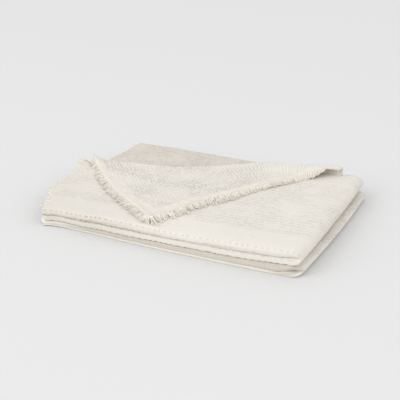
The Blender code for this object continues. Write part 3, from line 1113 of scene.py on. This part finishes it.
def addNoise(tree, place, scale, detail):
    node = addNode(tree, "ShaderNodeTexNoise", place)
    node.inputs["Scale"].default_value = scale
    node.inputs["Detail"].default_value = detail
    return node.outputs[0]


def addBump(tree, height, distance):
    node = addNode(tree, "ShaderNodeBump")
    node.inputs["Distance"].default_value = distance
    tree.links.new(height, node.inputs["Height"])
    return node.outputs[0]


def addMix(tree, share, first, second, blend="MIX"):
    node = addNode(tree, "ShaderNodeMix", data_type="RGBA", blend_type=blend)
    for name, value in (("Factor_Float", share), ("A_Color", first), ("B_Color", second)):
        socket = next(item for item in node.inputs if item.identifier == name)
        if isinstance(value, bpy.types.NodeSocket):
            tree.links.new(value, socket)
        else:
            socket.default_value = value if name == "Factor_Float" else (*value, 1)
    return next(item for item in node.outputs if item.identifier == "Result_Color")


def addSocket(tree, name, kind, way="INPUT"):
    return tree.interface.new_socket(name, in_out=way, socket_type="NodeSocket" + kind)


def makeWaffleGroup():
    tree = bpy.data.node_groups.new("waffleCells", "ShaderNodeTree")
    addSocket(tree, "Flat", "Vector")
    for name, value in zip(waffleColumns, cotton["rows"]):
        addSocket(tree, name, "Float").default_value = value
    addSocket(tree, "Hollow", "Float", "OUTPUT")
    given = tree.nodes.new("NodeGroupInput").outputs
    split = addNode(tree, "ShaderNodeSeparateXYZ", given["Flat"]).outputs
    drift = addNoise(tree, given["Flat"], cotton["driftScale"], 2)
    sway = addProduct(tree, addMath(tree, "SUBTRACT", drift, 0.5), given["Wander"])
    rows = addMath(tree, "ADD", addMath(tree, "DIVIDE", split[1], given["Row pitch"]), sway)
    rowWave = addMath(tree, "COSINE", addProduct(tree, rows, 2 * math.pi))
    rowMask = addRange(tree, rowWave, given["Row edge"], 1.0)
    rowNumber = addProduct(tree, addMath(tree, "ROUND", rows), 7.31)  # far enough apart to differ
    dashNumber = addMath(tree, "DIVIDE", split[0], given["Dash length"])
    spot = addNode(tree, "ShaderNodeCombineXYZ", dashNumber, rowNumber).outputs[0]
    dashMask = addFade(tree, addNoise(tree, spot, 1, 1), "dashMask")
    runOn = addMath(tree, "MINIMUM", addMath(tree, "ADD", given["Run on"], dashMask), 1.0)
    hollow = addProduct(tree, rowMask, runOn)
    drawn = addNode(tree, "ShaderNodeMapping", given["Flat"])
    drawn.inputs["Scale"].default_value = cotton["streakScale"]
    streaks = addFade(tree, addNoise(tree, drawn.outputs[0], 1, 2), "streakMask")
    hollow = addMath(tree, "MAXIMUM", hollow, addProduct(tree, streaks, given["Streak"]))
    tree.links.new(hollow, tree.nodes.new("NodeGroupOutput").inputs["Hollow"])
    return tree


def makeCottonGroup():
    tree = bpy.data.node_groups.new("cottonYarn", "ShaderNodeTree")
    for name, kind in (("Base", "Color"), ("Deep", "Color"), ("Place", "Vector"), ("Hollow", "Float")):
        addSocket(tree, name, kind)
    for name, kind in (("Color", "Color"), ("Roughness", "Float"), ("Fuzz", "Float")):
        addSocket(tree, name, kind, "OUTPUT")
    given = tree.nodes.new("NodeGroupInput").outputs
    broad = addNoise(tree, given["Place"], cotton["broadScale"], 2)
    fine = addNoise(tree, given["Place"], cotton["fineScale"], 3)
    tint = addMath(tree, "ADD", addFade(tree, broad, "broadTint"), addFade(tree, fine, "yarnTint"))
    # sunk parts pull the colour towards Deep, as painted shade in the hollows
    depth = addMath(tree, "ADD", tint, addProduct(tree, given["Hollow"], cotton["hollowShade"]))
    result = tree.nodes.new("NodeGroupOutput").inputs
    tree.links.new(addMix(tree, depth, given["Base"], given["Deep"]), result["Color"])
    tree.links.new(addFade(tree, fine, "yarnRoughness"), result["Roughness"])
    tree.links.new(fine, result["Fuzz"])
    return tree


waffleGroup = makeWaffleGroup()
cottonGroup = makeCottonGroup()


def startCotton(name):
    material = bpy.data.materials.new(name)
    material.use_nodes = True
    shader = material.node_tree.nodes["Principled BSDF"]
    shader.inputs["Specular IOR Level"].default_value = cotton["gloss"]
    shader.inputs["Sheen Weight"].default_value = cotton["sheen"]
    shader.inputs["Sheen Roughness"].default_value = cotton["sheenRoughness"]
    return material, material.node_tree, shader


def placeGroup(tree, group, values):
    node = tree.nodes.new("ShaderNodeGroup")
    node.node_tree = group
    for socket, value in zip(node.inputs, values):
        if isinstance(value, bpy.types.NodeSocket):
            tree.links.new(value, socket)
        else:
            socket.default_value = (*value, 1) if isinstance(value, tuple) else value
    return node.outputs


def addQuiet(tree, crosswise):
    front = addFade(tree, crosswise, "quietFront")
    back = addFade(tree, crosswise, "quietBack")
    return addRest(tree, addProduct(tree, front, back, cotton["quietShare"]))


# Depth of the waffle rows and of the turned-back side's ripple
def addCells(tree, flat, turned, marks, strength):
    lengthwise, crosswise = addNode(tree, "ShaderNodeSeparateXYZ", flat).outputs[:2]
    rows = placeGroup(tree, waffleGroup, (flat, *cotton["rows"]))["Hollow"]
    rows = addProduct(
        tree,
        rows,
        addQuiet(tree, crosswise),
        addMath(tree, "MULTIPLY_ADD", marks["tanAndShade"], cotton["tanRows"], 1.0),
        addFade(tree, lengthwise, "rowsByLength"),
        addRest(tree, marks["ripple"]),
    )
    ripples = placeGroup(tree, waffleGroup, (turned, *cotton["ripples"]))["Hollow"]
    ripplesByLength = addFade(tree, lengthwise, "ripplesByLength")
    ripples = addProduct(tree, ripples, ripplesByLength, marks["ripple"])
    return addProduct(tree, addMath(tree, "MAXIMUM", rows, ripples), strength)


# Painted shade, also sunk in the bump: dashes behind the top fold, and bead marks in the grooves
def addShadedBeads(tree, flat, marks, patch, wander):
    lengthwise, crosswise = addNode(tree, "ShaderNodeSeparateXYZ", flat).outputs[:2]
    sway = addProduct(tree, addMath(tree, "SUBTRACT", wander, 0.5), cotton["dashSway"])
    swayed = addMath(tree, "ADD", crosswise, sway)
    rowAt = addFade(tree, lengthwise, "dashRow")
    away = addMath(tree, "ABSOLUTE", addMath(tree, "SUBTRACT", swayed, rowAt))
    dashRow = addProduct(tree, addFade(tree, away, "dashFade"), marks["shoulder"])
    steps = addMath(tree, "DIVIDE", lengthwise, cotton["dashPitch"])
    steps = addMath(tree, "MULTIPLY_ADD", wander, cotton["dashWander"], steps)
    beat = addMath(tree, "COSINE", addProduct(tree, steps, 2 * math.pi))
    shadedDashes = addFade(tree, beat, "dashEdge")
    shadedDashes = addProduct(tree, shadedDashes, dashRow, cotton["dashShare"])
    shadedBeads = addProduct(tree, addFade(tree, beat, "beadEdge"), marks["grooveShade"])
    blot = addFade(tree, patch, "beadBlot")
    return addProduct(tree, addMath(tree, "MAXIMUM", shadedBeads, shadedDashes), blot)


def makeClothMaterial():
    material, tree, shader = startCotton("waffleCotton")
    flat = addNode(tree, "ShaderNodeUVMap", uv_map="clothFlat").outputs[0]
    turn = addNode(tree, "ShaderNodeMapping", flat)
    turn.inputs["Rotation"].default_value = (0, 0, math.radians(90))
    turned = turn.outputs[0]
    marks = {}
    for name in markNames:
        marks[name] = addNode(tree, "ShaderNodeAttribute", attribute_name=name).outputs["Fac"]
    patch = addNoise(tree, flat, cotton["patchScale"], 2)
    wander = addNoise(tree, flat, cotton["wanderScale"], 1)
    strength = addFade(tree, patch, "patchStrength")
    cells = addCells(tree, flat, turned, marks, strength)
    shadedBeads = addShadedBeads(tree, flat, marks, patch, wander)
    width = cotton["hemWidth"]
    inside = addRange(tree, marks["hem"], *(width + soft for soft in cotton["hemSoft"]))
    onHem = addRest(tree, inside)
    plain = addMath(tree, "MAXIMUM", onHem, marks["band"])
    threads = placeGroup(tree, waffleGroup, (turned, *cotton["threads"]))["Hollow"]
    threads = addProduct(tree, threads, plain, cotton["threadShare"])
    fromStitch = addMath(tree, "ABSOLUTE", addMath(tree, "SUBTRACT", marks["hem"], width))
    stitch = addProduct(tree, addFade(tree, fromStitch, "stitchFade"), strength)
    sunk = addMath(tree, "MAXIMUM", addProduct(tree, cells, addRest(tree, plain)), threads)
    sunk = addMath(tree, "MAXIMUM", sunk, addProduct(tree, stitch, cotton["stitchShare"]))
    # cottonYarn darkens what is sunk here as painted shade, besides the bump below
    yarn = placeGroup(tree, cottonGroup, (cotton["cloth"], cotton["hollow"], flat, sunk))
    hemmed = addProduct(tree, onHem, addFade(tree, wander, "hemBlotch"))
    # darker tone, and painted shade on the upper pack's left part
    shadedColour = addMix(tree, marks["tanAndShade"], yarn["Color"], cotton["tanAndShade"], "MULTIPLY")
    shadedColour = addMix(tree, hemmed, shadedColour, cotton["hem"])
    # painted shade on the recessed front fold of the lower pack
    onBand = addProduct(tree, marks["band"], cotton["bandShade"])
    shadedColour = addMix(tree, onBand, shadedColour, cotton["band"])
    # painted shade in the sunk lines and the dash row
    inGrooveShade = addProduct(tree, shadedBeads, cotton["beadShade"])
    shadedColour = addMix(tree, inGrooveShade, shadedColour, cotton["grooveShade"])
    sunk = addMath(tree, "ADD", sunk, addProduct(tree, shadedBeads, cotton["beadSink"]))
    height = addMath(tree, "SUBTRACT", addProduct(tree, yarn["Fuzz"], cotton["fuzz"]), sunk)
    tree.links.new(shadedColour, shader.inputs["Base Color"])
    tree.links.new(yarn["Roughness"], shader.inputs["Roughness"])
    tree.links.new(addBump(tree, height, cotton["hollowDepth"]), shader.inputs["Normal"])
    return material


def makeFringeMaterial(name, colour):
    material, tree, shader = startCotton(name)
    place = addNode(tree, "ShaderNodeTexCoord").outputs["Object"]
    yarn = placeGroup(tree, cottonGroup, (colour, cotton["fringeDeep"], place, 0.0))
    tree.links.new(yarn["Color"], shader.inputs["Base Color"])
    tree.links.new(yarn["Roughness"], shader.inputs["Roughness"])
    tree.links.new(addBump(tree, yarn["Fuzz"], cotton["fringeDepth"]), shader.inputs["Normal"])
    return material


throw.data.materials.append(makeClothMaterial())
fringeCotton = makeFringeMaterial("fringeCotton", cotton["fringe"])
endCotton = makeFringeMaterial("endCotton", cotton["endFringe"])
backCotton = makeFringeMaterial("backCotton", cotton["backFringe"])
for fringe, yarn in zip(fringes, (endCotton, fringeCotton, endCotton, backCotton)):
    fringe.data.materials.append(yarn)
print("materials made")


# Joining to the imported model

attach(throw, "root")
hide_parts("throw_cloth")
fringeNodes = ("fringe_flap_left", "fringe_flap_right", "fringe_top_end", "fringe_back_end")
for fringe, node in zip(fringes, fringeNodes):
    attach(fringe, "root")
    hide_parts(node)
